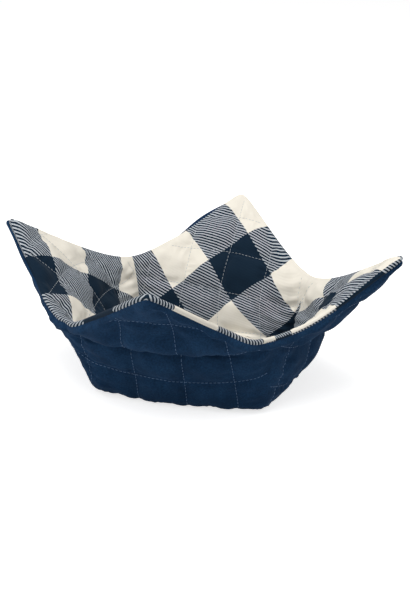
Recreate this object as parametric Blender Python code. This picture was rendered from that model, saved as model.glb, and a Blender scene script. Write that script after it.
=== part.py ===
"""Quilted microwave bowl cozy, modelled the way it is sewn.

Two squares of quilted cloth, an outer one and a lining, have a dart sewn in the middle of each side.
The darts lift the cloth into a square base with four walls, and each wall rises to a corner of the cloth.
Each layer is drawn flat, cut along its quilting lines, folded up, and given its thickness and its puffs.

Lengths are in metres and angles in degrees. X points to the right corner, Y to the back corner and Z up.
The origin is the middle of the flat underside.
"""

import math

import bmesh
import bpy
import numpy as np
from mathutils import Vector

# The flat cloth
CLOTH_SIDE = 0.248        # finished side of the square
BASE_SIDE = 0.108         # side of the square base, between the points of the darts
DART_WIDTH = 0.044        # width of a dart at the edge of the cloth
CORNER_RADIUS = 0.007     # rounding of the cloth's corners

# The quilting, centred on the base
QUILT_PITCH = 0.032       # from one line of stitches to the next
GROOVE_WIDTH = 0.010      # from the top of one puff's edge to the next, across a line of stitches
STITCHED_THICKNESS = 0.0020   # one layer, pressed down by its stitches
PUFF_HEIGHT = 0.0016      # what the wadding adds between the stitches
LAYER_GAP = 0.0003        # between the outer and the lining
RIM_ROUNDING = 0.0008     # how far the sewn edge bulges past the cut of the cloth

# The folded form
BASE_BEND = 0.006         # the bend at the foot of a wall takes this much cloth on each side of the fold

# Each wall's tip: lean of the line from foot to tip, its turn to the side, and how much of the cloth's
# length that line spans; then how far the cloth leans at its foot and at its tip
WALLS = ("right", "back", "left", "front")
TIP_LEAN = {"right": 39.0, "back": 38.0, "left": 42.0, "front": 39.0}
TIP_TURN = {"right": -5.0, "back": -1.0, "left": 2.0, "front": -1.0}
TIP_SPAN = {"right": 0.99, "back": 0.93, "left": 0.99, "front": 0.98}
FOOT_LEAN = {"right": 44.0, "back": 4.0, "left": 25.0, "front": 18.0}
HEAD_LEAN = {"right": 46.0, "back": 58.0, "left": 62.0, "front": 54.0}

# Each dart's seam: lean of the line from foot to top, and its turn away from the diagonal
DARTS = ("right_back", "back_left", "left_front", "front_right")
SEAM_LEAN = {"right_back": 12.0, "back_left": 14.0, "left_front": 26.0, "front_right": 15.0}
SEAM_TURN = {"right_back": -30.0, "back_left": 8.0, "left_front": 0.0, "front_right": -12.0}
SEAM_FOOT_LEAN = 18.0
SEAM_HEAD_LEAN = 27.0

# The rim between a dart and a tip
RIM_SAG = 0.05            # how much steeper than a straight line the rim leaves a tip
RIM_FLATNESS = 0.70       # how widely the rim sweeps round above a dart

# Colours, sRGB
NAVY = (0.106, 0.208, 0.341)
CREAM = (0.925, 0.902, 0.863)

# Flat places that follow from these: a dart's mouth lies DART_OUT along the wall and DART_ASIDE across it
TIP_FLAT = CLOTH_SIDE / math.sqrt(2.0)                # middle of the cloth to a corner
BASE_HALF = BASE_SIDE / 2.0
DART_OUT = TIP_FLAT / 2.0 + DART_WIDTH / (2.0 * math.sqrt(2.0))
DART_ASIDE = TIP_FLAT - DART_OUT
WALL_LENGTH = TIP_FLAT - BASE_HALF                    # foot to tip up the middle of a wall
SEAM_RISE = DART_OUT - BASE_HALF
SEAM_SPREAD = DART_ASIDE - BASE_HALF
SEAM_LENGTH = math.hypot(SEAM_RISE, SEAM_SPREAD)
RIM_LENGTH = DART_ASIDE * math.sqrt(2.0)              # dart to tip along the rim
CORNER_SHARE = CORNER_RADIUS * (math.sqrt(2.0) - 1.0) / DART_ASIDE
PRESSED_SHARE = 0.6                                   # puffs under the base are pressed flat to this height
MIDDLE_HEIGHT = LAYER_GAP / 2.0 + STITCHED_THICKNESS + PRESSED_SHARE * PUFF_HEIGHT
CLOSEST_CUTS = 0.0025                                 # a cut nearer than this to another is left out
SAME_POINT = 0.00002                                  # points of two dart edges that are one on the seam
RIM_STEPS = (-1.0, -0.3, -0.12, -0.04, 0.04, 0.12, 0.3, 1.0)    # places across a wall that draw its rim


def srgb_to_linear(colour):
    """The linear values of an sRGB colour."""
    return [c / 12.92 if c <= 0.04045 else ((c + 0.055) / 1.055) ** 2.4 for c in colour]


def make_material(name, colour, roughness):
    """A plain cloth material."""
    material = bpy.data.materials.new(name)
    material.use_nodes = True
    shader = material.node_tree.nodes["Principled BSDF"]
    shader.inputs["Base Color"].default_value = (*srgb_to_linear(colour), 1.0)
    shader.inputs["Roughness"].default_value = roughness
    shader.inputs["Metallic"].default_value = 0.0
    return material


def leaning(lean, turn):
    """Unit vectors that lean from +Z by one angle, towards directions turned from +X by the other."""
    lean, turn = np.broadcast_arrays(np.radians(lean), np.radians(turn))
    return np.stack([np.sin(lean) * np.cos(turn), np.sin(lean) * np.sin(turn), np.cos(lean)], axis=-1)


def quarter_turns(points, count):
    """Points turned about Z by a number of quarter turns."""
    x, y, z = points[..., 0], points[..., 1], points[..., 2]
    for _ in range(count % 4):
        x, y = -y, x
    return np.stack([x, y, z], axis=-1)


def unit(vectors):
    """Vectors scaled to length one."""
    return vectors / np.linalg.norm(vectors, axis=-1, keepdims=True)


def hermite(t, start, start_pull, end, end_pull):
    """Cubic curve from start to end with the given pulls, at t from 0 to 1."""
    t = np.asarray(t)[..., None]
    return ((2 * t**3 - 3 * t**2 + 1) * start + (t**3 - 2 * t**2 + t) * start_pull
            + (3 * t**2 - 2 * t**3) * end + (t**3 - t**2) * end_pull)


def tip_point(wall):
    """The wall's tip in its own frame, where +X is outwards."""
    foot = np.array([BASE_HALF, 0.0, 0.0])
    return foot + WALL_LENGTH * TIP_SPAN[wall] * leaning(TIP_LEAN[wall], TIP_TURN[wall])


def dart_top(dart):
    """The top of a dart's seam in the frame of the wall before it, so the dart is on the wall's +Y side."""
    foot = np.array([BASE_HALF, BASE_HALF, 0.0])
    return foot + SEAM_LENGTH * leaning(SEAM_LEAN[dart], 45.0 + SEAM_TURN[dart])


def rounded_share(across):
    """Distance from the middle of a wall, as a share of its half width, rounded off at the middle."""
    return np.sqrt(across**2 + CORNER_SHARE**2) / math.sqrt(1.0 + CORNER_SHARE**2)


def rim_points(wall, across):
    """Rim of a wall in its own frame: one sweep from the tip to each dart, joined by a rounded corner."""
    index = WALLS.index(wall)
    tip = tip_point(wall)
    share = rounded_share(across)
    dart_tops = (dart_top(DARTS[index]), quarter_turns(dart_top(DARTS[index - 1]), 3))
    sweeps = []
    for side, top in zip((1.0, -1.0), dart_tops):
        leaving = unit(unit(top - tip) - np.array([0.0, 0.0, RIM_SAG]))
        arriving = unit(np.array([-1.0, side, 0.0]))
        sweeps.append(hermite(share, tip, leaving * RIM_LENGTH, top, arriving * RIM_LENGTH * RIM_FLATNESS))
    middle = (sweeps[0] + sweeps[1]) / 2.0
    aside = (sweeps[0] - sweeps[1]) / 2.0
    return middle + (across / share)[..., None] * aside


def cloth_length(across):
    """Flat length of a wall's column outwards, from foot to rim."""
    return SEAM_RISE + (WALL_LENGTH - SEAM_RISE) * (1.0 - rounded_share(across))


def column_of(out, aside):
    """Where a flat point of a wall lies: across the wall from -1 to 1, and up it from 0 to 1."""
    up = np.maximum(out - BASE_HALF, 0.0)
    across = aside / np.maximum(out, 1e-9)
    for _ in range(60):
        rise = up / cloth_length(across)
        across = (across + np.clip(aside / (BASE_HALF + rise * SEAM_SPREAD), -1.0, 1.0)) / 2.0
    return across, up / cloth_length(across)


def wall_points(wall, across, rise):
    """Points of a folded wall in its own frame: each column is one curve from the foot to the rim."""
    towards_dart = 45.0 * np.sign(across)
    share = (across**2)[..., None]
    foot = np.stack([np.full_like(across, BASE_HALF), BASE_HALF * across, np.zeros_like(across)], axis=-1)
    seam_foot, seam_head = leaning(SEAM_FOOT_LEAN, towards_dart), leaning(SEAM_HEAD_LEAN, towards_dart)
    pull_foot = unit((1.0 - share) * leaning(FOOT_LEAN[wall], 0.0) + share * seam_foot)
    pull_head = unit((1.0 - share) * leaning(HEAD_LEAN[wall], 0.0) + share * seam_head)
    length = np.hypot(cloth_length(across), SEAM_SPREAD * across)[..., None]
    return hermite(rise, foot, pull_foot * length, rim_points(wall, across), pull_head * length)


def fold(flat):
    """Folds flat points of the cloth into the middle surface of the cozy, whose base is at height zero."""
    flat = np.column_stack([flat, np.zeros(len(flat))])
    folded = flat.copy()
    for index, wall in enumerate(WALLS):
        turned = quarter_turns(flat, -index)
        chosen = (turned[:, 0] > np.abs(turned[:, 1]) - SAME_POINT) & (turned[:, 0] > BASE_HALF - BASE_BEND)
        out, aside = turned[chosen, 0], turned[chosen, 1]
        across, rise = column_of(np.maximum(out, BASE_HALF), aside)
        across = np.where(out < BASE_HALF, aside / out, across)
        points = wall_points(wall, across, rise)
        # The bend is a quadratic curve from the base, by way of the fold, to the wall
        edge = BASE_HALF * np.column_stack([np.ones_like(across), across, np.zeros_like(across)])
        below = edge * (1.0 - BASE_BEND / BASE_HALF)
        above = wall_points(wall, across, BASE_BEND / cloth_length(across))
        t = ((out - BASE_HALF + BASE_BEND) / (2.0 * BASE_BEND))[:, None]
        bend = (1 - t)**2 * below + 2 * t * (1 - t) * edge + t**2 * above
        points = np.where(t < 1.0, bend, points)
        folded[chosen] = quarter_turns(points, index)
    return folded


def cut_places():
    """Distances from the middle at which the cloth is cut: along and beside stitches, and at the bend."""
    places = [BASE_HALF, BASE_HALF - BASE_BEND, BASE_HALF + BASE_BEND]
    count = math.ceil(TIP_FLAT / QUILT_PITCH)
    rows = [
        [(i + 0.5) * QUILT_PITCH for i in range(count)],
        [(i + 0.5) * QUILT_PITCH + GROOVE_WIDTH / 2.0 for i in range(count)],
        [(i + 0.5) * QUILT_PITCH - GROOVE_WIDTH / 2.0 for i in range(count)],
        [i * QUILT_PITCH for i in range(count)],
    ]
    for row in rows:
        for place in row:
            if min(abs(place - other) for other in places) > CLOSEST_CUTS:
                places.append(place)
    return [place for place in places if place < TIP_FLAT]


def flat_cloth():
    """The cloth laid flat with its darts cut out, as a mesh that is cut along the quilting lines."""
    bm = bmesh.new()
    corners = ((1.0, -1.0), (1.0, 1.0), (-1.0, 1.0), (-1.0, -1.0))
    base = [bm.verts.new((x * BASE_HALF, y * BASE_HALF, 0.0)) for x, y in corners]
    bm.faces.new(base)
    across = np.array(RIM_STEPS)
    rim = np.column_stack([BASE_HALF + cloth_length(across), DART_ASIDE * across, np.zeros_like(across)])
    for index in range(len(WALLS)):
        rim_verts = [bm.verts.new(point) for point in quarter_turns(rim, index).tolist()]
        bm.faces.new([base[index], *rim_verts, base[(index + 1) % 4]])
    for place in cut_places():
        for normal in (Vector((1.0, 0.0, 0.0)), Vector((0.0, 1.0, 0.0))):
            for signed_place in sorted({place, -place}):
                everything = bm.verts[:] + bm.edges[:] + bm.faces[:]
                bmesh.ops.bisect_plane(bm, geom=everything, dist=SAME_POINT / 10.0,
                                       plane_co=normal * signed_place, plane_no=normal)
    return bm


def puff_share(x, y):
    """How far the wadding rises at a flat point, from 0 on a line of stitches to 1 between the lines."""
    x, y = np.abs(x), np.abs(y)
    high, low = np.maximum(x, y), np.minimum(x, y)
    to_line = [np.abs((v / QUILT_PITCH) % 1.0 - 0.5) * QUILT_PITCH for v in (x, y)]
    to_rim = (TIP_FLAT - high - low) / math.sqrt(2.0)
    to_seam = ((high - BASE_HALF) * SEAM_SPREAD - (low - BASE_HALF) * SEAM_RISE) / SEAM_LENGTH
    to_seam = np.where(high > BASE_HALF, to_seam, np.hypot(high - BASE_HALF, low - BASE_HALF))
    nearest = np.clip(np.minimum.reduce([*to_line, to_rim, to_seam]), 0.0, None)
    edge = 1.0 - (1.0 - np.minimum(nearest / (GROOVE_WIDTH / 2.0), 1.0))**2
    dome = np.sin(math.pi * nearest / QUILT_PITCH)
    return 0.7 * edge + 0.3 * dome


def folded_cloth():
    """The middle surface as a triangle mesh, with each point's flat place."""
    bm = flat_cloth()
    bmesh.ops.triangulate(bm, faces=bm.faces[:], quad_method="SHORT_EDGE", ngon_method="BEAUTY")
    flat_x = bm.verts.layers.float.new("flat_x")
    flat_y = bm.verts.layers.float.new("flat_y")
    flat = np.array([vert.co[:2] for vert in bm.verts])
    for vert, place, point in zip(bm.verts, flat.tolist(), fold(flat).tolist()):
        vert[flat_x], vert[flat_y] = place
        vert.co = point
    seams = [vert for vert in bm.verts if vert.is_boundary]
    bmesh.ops.remove_doubles(bm, verts=seams, dist=SAME_POINT)
    bm.normal_update()
    bm.verts.index_update()
    return bm


def rim_outwards(bm):
    """For each rim point, the direction out of the cloth along its surface."""
    outwards = {}
    for edge in bm.edges:
        if not edge.is_boundary:
            continue
        loop = edge.link_loops[0]
        start, end = loop.vert, loop.link_loop_next.vert
        away = (end.co - start.co).cross(loop.face.normal).normalized()
        for vert in (start, end):
            outwards[vert.index] = outwards.get(vert.index, Vector()) + away
    return {index: away.normalized() for index, away in outwards.items()}


def make_layer(name, side, material):
    """One quilted layer on a side of the middle surface: 1 for the lining, -1 for the outer."""
    middle = folded_cloth()
    flat_x = middle.verts.layers.float["flat_x"]
    flat_y = middle.verts.layers.float["flat_y"]
    x = np.array([vert[flat_x] for vert in middle.verts])
    y = np.array([vert[flat_y] for vert in middle.verts])
    thickness = (STITCHED_THICKNESS + PUFF_HEIGHT * puff_share(x, y)).tolist()
    outwards = rim_outwards(middle)

    bm = bmesh.new()
    lift = Vector((0.0, 0.0, MIDDLE_HEIGHT))
    hidden, shown, edge_row = [], [], {}
    for vert, thick in zip(middle.verts, thickness):
        normal = vert.normal * side * min(vert.calc_shell_factor(), math.sqrt(2.0))
        near = vert.co + lift + normal * (LAYER_GAP / 2.0)
        far = vert.co + lift + normal * (LAYER_GAP / 2.0 + thick)
        far.z = max(far.z, 0.0)
        hidden.append(bm.verts.new(near))
        shown.append(bm.verts.new(far))
        if vert.index in outwards:
            edge_row[vert.index] = bm.verts.new((near + far) / 2.0 + outwards[vert.index] * RIM_ROUNDING)
    for face in middle.faces:
        corners = [vert.index for vert in face.verts]
        upper, lower = (shown, hidden) if side > 0 else (hidden, shown)
        bm.faces.new([upper[i] for i in corners])
        bm.faces.new([lower[i] for i in reversed(corners)])
    for edge in middle.edges:
        if not edge.is_boundary:
            continue
        loop = edge.link_loops[0]
        start, end = loop.vert.index, loop.link_loop_next.vert.index
        upper, lower = (shown, hidden) if side > 0 else (hidden, shown)
        for above, below in ((upper, edge_row), (edge_row, lower)):
            bm.faces.new((above[end], above[start], below[start]))
            bm.faces.new((above[end], below[start], below[end]))
    middle.free()

    mesh = bpy.data.meshes.new(name)
    bm.to_mesh(mesh)
    bm.free()
    mesh.shade_smooth()
    mesh.materials.append(material)
    layer = bpy.data.objects.new(name, mesh)
    bpy.context.scene.collection.objects.link(layer)
    return layer


def build():
    """Clears the scene and makes the two layers."""
    for old in list(bpy.data.objects):
        bpy.data.objects.remove(old, do_unlink=True)
    make_layer("outer_shell", -1.0, make_material("navy_cotton", NAVY, 0.9))
    make_layer("inner_lining", 1.0, make_material("check_cotton", CREAM, 0.9))


build()
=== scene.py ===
"""Quilted microwave bowl cozy: its two padded cloth layers, its stitches and its stage.

The cozy is cut from two squares of quilted cotton. A dart in the middle of each side lifts the square into a
flat base with four walls, and each wall rises to a corner of the cloth. Every surface here starts as flat
cloth, in the same flat coordinates for both layers, and is folded up by one function.

Lengths are in metres and angles in degrees. X points to the right corner, Y to the back corner and Z up.
"""

import math

import bmesh
import bpy
import numpy as np
from bpy.props import FloatProperty, FloatVectorProperty, PointerProperty
from mathutils import Matrix, Vector


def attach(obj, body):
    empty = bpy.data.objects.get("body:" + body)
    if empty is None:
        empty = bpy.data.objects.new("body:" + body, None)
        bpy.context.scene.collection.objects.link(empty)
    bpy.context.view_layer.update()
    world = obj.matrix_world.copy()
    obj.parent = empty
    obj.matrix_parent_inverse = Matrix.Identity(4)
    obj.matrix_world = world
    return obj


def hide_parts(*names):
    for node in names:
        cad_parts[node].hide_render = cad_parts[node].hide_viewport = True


bl_info = {
    "name": "Quilted Bowl Cozy",
    "version": (1, 0, 0),
    "blender": (4, 5, 0),
    "location": "View3D > Sidebar > Cozy",
    "description": "Sews a quilted bowl cozy: padded layers, lining check, stitches and stage",
    "category": "Add Mesh",
}

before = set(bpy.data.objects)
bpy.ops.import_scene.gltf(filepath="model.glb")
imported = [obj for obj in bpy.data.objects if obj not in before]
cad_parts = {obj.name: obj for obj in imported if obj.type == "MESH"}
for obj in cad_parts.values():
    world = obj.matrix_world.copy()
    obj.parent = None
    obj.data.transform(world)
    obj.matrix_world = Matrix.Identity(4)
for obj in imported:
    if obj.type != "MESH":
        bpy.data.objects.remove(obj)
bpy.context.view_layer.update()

# The folded form: that of the solids, with some angles fitted more closely to the photo. Each wall's tip: lean of
# the line from foot to tip, its turn to the side, and how much of the cloth's length that line spans; then how
# far the cloth leans at its foot and tip
WALLS = ("right", "back", "left", "front")
TIP_LEAN = {"right": 39.6, "back": 38.0, "left": 41.0, "front": 39.0}
TIP_TURN = {"right": -5.0, "back": -1.0, "left": 2.0, "front": -1.0}
TIP_SPAN = {"right": 0.99, "back": 0.93, "left": 0.99, "front": 0.98}
FOOT_LEAN = {"right": 42.0, "back": 4.0, "left": 22.0, "front": 20.0}
HEAD_LEAN = {"right": 46.0, "back": 58.0, "left": 62.0, "front": 52.0}
DARTS = ("right_back", "back_left", "left_front", "front_right")
SEAM_LEAN = {"right_back": 12.0, "back_left": 14.0, "left_front": 24.0, "front_right": 15.0}
SEAM_TURN = {"right_back": -30.0, "back_left": 8.0, "left_front": -20.0, "front_right": -12.0}
SEAM_FOOT_LEAN = 18.0
SEAM_HEAD_LEAN = 27.0
RIM_SAG = 0.05
RIM_FLATNESS = 0.70
CORNER_RADIUS = 0.007
BASE_BEND = 0.006

# The layers lie on either side of the middle surface, which the pressed puffs under the base lift off the table
OUTER, LINING = -1.0, 1.0
PRESSED_SHARE = 0.6
SOLID_PUFF = 0.0016

# How far the middle of each side of the base stands out of the square
BASE_BOW = {"right": 0.003, "back": 0.002, "left": 0.002, "front": 0.007}

# Soft bumps and hollows of the standing cloth: flat place, reach along X and Y, and height out of the wall
SLUMPS = (
    (0.080, -0.022, 0.018, 0.045, 0.0022),
    (0.104, -0.012, 0.014, 0.050, -0.0050),
    (0.000, -0.1070, 0.050, 0.005, -0.0060),
    (0.000, -0.1190, 0.055, 0.009, 0.0062),
)

# Where the wadding is bunched up in the lining and the outer layer: flat place, reach along X and Y, and height
LINING_BUNCHES = (
    (0.130, -0.012, 0.028, 0.013, 0.0065),
)
OUTER_BUNCHES = (
    (-0.119, -0.046, 0.016, 0.014, 0.0040),
)

# Where the lining is sewn back from the edge, so that the outer layer shows above it as a dark line: flat place,
# reach along X and Y, and how far the outer layer stands above the rim
RIM_BARES = (
    (-0.023, 0.152, 0.020, 0.020, 0.0043),
    (-0.164, 0.012, 0.014, 0.014, 0.0048),
    (-0.150, -0.025, 0.022, 0.022, 0.0020),
)
BARE_EASE = 0.0014    # the lining is fully back where the outer layer stands this far above the rim

# Grid of each wall: columns across it, rows in the bend at its foot and rows up to the rim
COLUMNS = 61
BEND_ROWS = 6
WALL_ROWS = 46
SAME_POINT = 0.00001

RIM_THICKNESS = 0.65
RIM_REACH = 0.006
RIDGE_HEIGHT = 0.0023
RIDGE_START = 0.0006
RIDGE_WIDTH = 0.0058
RIM_EASE = 0.0042
EASE_REACH = 0.012

# The outer layer's edge stays this far below the edge of the cloth, where it is shown and inside
OUTER_DROP = 0.0007
INSIDE_DROP = 0.0003

# The lining's roll over the rim: degrees round the edge, how far it bulges out, and print taken up to the arc's
# length. Then its end, tucked in behind the outer layer: place past the radius, place out of the cloth, and print
# past the roll, with the last point at the gap. Where the lining is bare it only rounds off
ROLL_ANGLES = (30.0, 60.0, 90.0, 120.0, 150.0, 180.0)
ROLL_BULGE = 0.0012
ROLL_PRINT = 0.7
ROLL_TAIL = (
    (-0.0002, -0.0005, 0.0004),
    (-0.0003, -0.0011, 0.0008),
    (0.0, -0.0013, 0.0010),
    (0.0003, -0.0008, 0.0014),
    (0.0005, 0.0, 0.0020),
)
ROLL_END = (0.0002, 0.0030)
BARE_BULGE = 0.0006

# Stitches end this far from the rim and from the dart seams. Each is a bead of rings at these places along its
# half, with these widths; half of it reaches over this share of the stitch length, and its rise above the cloth,
# its depth in it and its height are shares of the thread's width
STITCH_TO_RIM = 0.0035
STITCH_TO_SEAM = 0.0012
BEAD_PLACES = (-1.0, -0.62, 0.0, 0.62, 1.0)
BEAD_WIDTHS = (0.35, 0.9, 1.0, 0.9, 0.35)
BEAD_REACH = 0.36
BEAD_RISE = 0.55
BEAD_SINK = 0.05
BEAD_HEIGHT = 0.8
BEAD_SIDES = 6

# Where the quilted check was pulled askew in sewing: flat place, reach and shift
PRINT_SHIFTS = (
    (-0.085, 0.039, 0.036, 0.0102, -0.0015),
    (-0.110, -0.035, 0.036, 0.0031, -0.0114),
    (-0.060, 0.113, 0.036, -0.0014, -0.0062),
    (0.014, 0.088, 0.036, 0.0048, 0.0035),
    (0.162, -0.011, 0.036, 0.0011, 0.0000),
    (0.124, 0.003, 0.020, 0.0080, -0.0080),
    (0.103, 0.024, 0.020, -0.0055, 0.0055),
    (-0.123, -0.049, 0.036, 0.0026, 0.0079),
    (0.039, -0.134, 0.036, 0.0018, 0.0053),
    (0.148, 0.025, 0.036, 0.0046, -0.0024),
    (0.058, 0.082, 0.022, 0.0020, 0.0070),
    (0.082, 0.058, 0.022, 0.0070, 0.0020),
    (-0.045, -0.130, 0.028, -0.0042, 0.0042),
)

# The fine forms of the cloth: puckers beside the stitches, wandering wrinkles, and gathers beside the darts
PUCKER_REACH = 0.0022
PUCKER_LENGTH = 0.0068
PUCKER_HEIGHT = 0.00036
WRINKLE_HEIGHT = 0.00042
WRINKLE_LENGTHS = (0.041, 0.029, 0.023, 0.019, 0.015, 0.012)
WRINKLE_FADE = 0.004
GATHER_REACH = 0.0080
GATHER_LENGTH = 0.0085
GATHER_HEIGHT = 0.00045

# The simulation of the swelling: scale it runs at, extra cloth, push of the wadding, steps, and longest move
SWELL_SCALE = 20.0
SWELL_EASE = 0.022
SWELL_PRESSURE = 12.0
SWELL_FRAMES = 20
SWELL_CAP = 0.0030
HELD_REACH = 0.0012
HELD_FADE = 0.003

# Distance between the drawn yarns of the outside, and cycles of Blender's wave texture per unit of its scale
YARN_PITCH = 0.0011
WAVE_CYCLES = 3.1831

# Level of the twill wave, as a sine, at which the thread in front changes; set off zero, it draws the navy lines
# wider, as painted shade that the navy yarns cast on the cream ones
TWILL_BIAS = 0.22

# Light: half the side of the floor and its glow where it is seen directly, the world's light on all else, and the
# lamps by name, place, width in metres and power in watts, with the point they are turned to
FLOOR_HALF = 6.0
FLOOR_GLOW = 0.72
WORLD_LEVEL = 0.32
LAMPS = (
    ("softbox_above", (-0.10, -0.30, 1.28), 1.1, 12.0),
    ("softbox_left", (-1.0, -0.9, 0.7), 0.8, 4.2),
    ("softbox_right", (0.75, -0.25, 1.1), 0.9, 2.4),
)
LAMP_AIM = (0.0, 0.0, 0.04)

# Camera: turn from the front, height above it and roll in degrees, distance in metres and the point it looks at,
# then its lens in millimetres and the shift of the picture
AZIMUTH, ELEVATION, ROLL = 12.7, 19.6, 1.9
DISTANCE = 0.859
LOOK_AT = (0.0, 0.0, 0.0431)
LENS, SHIFT_X, SHIFT_Y = 77.66, 0.0089, 0.0085


def linear(hex_colour):
    """Linear RGBA of an sRGB hex colour: c / 12.92 below 0.04045, else ((c + 0.055) / 1.055) to the power 2.4."""
    channels = [int(hex_colour[i:i + 2], 16) / 255.0 for i in (1, 3, 5)]
    return [c / 12.92 if c <= 0.04045 else ((c + 0.055) / 1.055) ** 2.4 for c in channels] + [1.0]


def colour_property(name, description, hex_colour):
    """A colour that a user may change, kept linear."""
    return FloatVectorProperty(name=name, description=description, subtype="COLOR", size=4, min=0.0, max=1.0,
                               default=linear(hex_colour))


def length_property(name, description, default):
    """A length that a user may change, in metres."""
    return FloatProperty(name=name, description=description, default=default, min=0.0, precision=5,
                         unit="LENGTH", subtype="DISTANCE")


class CozySizes(bpy.types.PropertyGroup):
    """Sizes of the cut cloth and its quilting."""

    cloth_side: length_property("Cloth side", "Finished side of the flat square", 0.248)
    base_side: length_property("Base side", "Side of the square base", 0.108)
    dart_width: length_property("Dart width", "Width of a dart at the edge of the cloth", 0.044)
    layer_gap: length_property("Layer gap", "Air between the outer and the lining", 0.0003)
    stitched_thickness: length_property("Stitched thickness", "One layer where stitches press it down", 0.0020)
    puff_height: length_property("Puff height", "What the wadding adds between stitches", 0.0007)
    groove_width: length_property("Groove width", "From puff to puff across a line of stitches", 0.012)
    outer_pitch_x: length_property("Outer quilting X", "Distance between outer stitches along X", 0.0315)
    outer_pitch_y: length_property("Outer quilting Y", "Distance between outer stitches along Y", 0.0295)
    outer_start_x: length_property("Outer start X", "A line of outer stitches lies at this X", 0.0084)
    outer_start_y: length_property("Outer start Y", "A line of outer stitches lies at this Y", 0.0065)
    lining_pitch_x: length_property("Lining quilting X", "Distance between lining stitches along X", 0.031)
    lining_pitch_y: length_property("Lining quilting Y", "Distance between lining stitches along Y", 0.0285)
    lining_start_x: length_property("Lining start X", "A line of lining stitches lies at this X", 0.0037)
    lining_start_y: length_property("Lining start Y", "A line of lining stitches lies at this Y", 0.008)
    stitch_length: length_property("Stitch length", "From one stitch to the next", 0.0026)
    thread_width: length_property("Thread width", "Width of the sewing thread on the cloth", 0.00028)
    check_band: length_property("Check band", "Width of one band of the check", 0.035)
    twill_period: length_property("Twill period", "From one twill line to the next", 0.00185)
    twill_turn: FloatProperty(name="Twill turn", description="How far the twill lines turn from the X axis",
                              default=math.radians(-13.0), unit="ROTATION", subtype="ANGLE")


class CozyColours(bpy.types.PropertyGroup):
    """Colours of the yarns and threads."""

    outer_navy: colour_property("Outer navy", "Brushed cotton of the outside", "#132b45")
    outer_worn: colour_property("Outer worn", "The outside where its nap is rubbed", "#1f3e5e")
    check_navy: colour_property("Check navy", "Dyed yarn of the check", "#122434")
    check_cream: colour_property("Check cream", "Undyed yarn of the check", "#efe9dc")
    # Cream yarn beside navy ones: the cream colour darkened by painted shade, the shade that the navy yarns cast on
    # it
    check_cream_shaded: colour_property("Check cream shaded", "Undyed yarn seen between navy ones", "#b9bfc5")
    outer_thread: colour_property("Outer thread", "Quilting thread of the outside", "#5f7da4")
    lining_thread: colour_property("Lining thread", "Quilting thread of the lining", "#b9bfc4")
    floor: colour_property("Floor", "Paper sweep under the cozy", "#dedede")


class Cut:
    """Flat places that follow from the sizes: a dart's mouth lies dart_out along a wall and dart_aside across."""

    def __init__(self, sizes):
        self.gap_half = sizes.layer_gap / 2.0
        self.tip_flat = sizes.cloth_side / math.sqrt(2.0)
        self.base_half = sizes.base_side / 2.0
        self.dart_out = self.tip_flat / 2.0 + sizes.dart_width / (2.0 * math.sqrt(2.0))
        self.dart_aside = self.tip_flat - self.dart_out
        self.wall_length = self.tip_flat - self.base_half
        self.seam_rise = self.dart_out - self.base_half
        self.seam_spread = self.dart_aside - self.base_half
        self.seam_length = math.hypot(self.seam_rise, self.seam_spread)
        self.rim_length = self.dart_aside * math.sqrt(2.0)
        self.corner_share = CORNER_RADIUS * (math.sqrt(2.0) - 1.0) / self.dart_aside
        self.middle_height = self.gap_half + sizes.stitched_thickness + PRESSED_SHARE * SOLID_PUFF


def leaning(lean, turn):
    """Unit vectors that lean from +Z by one angle, towards directions turned from +X by the other."""
    lean, turn = np.broadcast_arrays(np.radians(lean), np.radians(turn))
    return np.stack([np.sin(lean) * np.cos(turn), np.sin(lean) * np.sin(turn), np.cos(lean)], axis=-1)


def quarter_turns(points, count):
    """Points turned about Z by a number of quarter turns: (x, y) becomes (-y, x) each time."""
    x, y, rest = points[..., 0], points[..., 1], points[..., 2:]
    for _ in range(count % 4):
        x, y = -y, x
    return np.concatenate([x[..., None], y[..., None], rest], axis=-1)


def unit(vectors):
    """Vectors divided by their length."""
    return vectors / np.maximum(np.linalg.norm(vectors, axis=-1, keepdims=True), 1e-12)


def hermite(t, start, start_pull, end, end_pull):
    """Cubic curve: (2t3 - 3t2 + 1) start + (t3 - 2t2 + t) pull + (3t2 - 2t3) end + (t3 - t2) pull."""
    t = np.asarray(t)[..., None]
    return ((2 * t**3 - 3 * t**2 + 1) * start + (t**3 - 2 * t**2 + t) * start_pull
            + (3 * t**2 - 2 * t**3) * end + (t**3 - t**2) * end_pull)


def tip_point(cut, wall):
    """The wall's tip in its own frame, where +X is outwards: foot + length x span x leaning direction."""
    foot = np.array([cut.base_half, 0.0, 0.0])
    return foot + cut.wall_length * TIP_SPAN[wall] * leaning(TIP_LEAN[wall], TIP_TURN[wall])


def dart_top(cut, dart):
    """Top of a dart's seam in the frame of the wall before it: base corner + seam length x leaning direction."""
    foot = np.array([cut.base_half, cut.base_half, 0.0])
    return foot + cut.seam_length * leaning(SEAM_LEAN[dart], 45.0 + SEAM_TURN[dart])


def rounded_share(cut, across):
    """Distance from the middle of a wall: sqrt(across2 + c2) / sqrt(1 + c2), so the corner is rounded off."""
    return np.sqrt(across**2 + cut.corner_share**2) / math.sqrt(1.0 + cut.corner_share**2)


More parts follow.
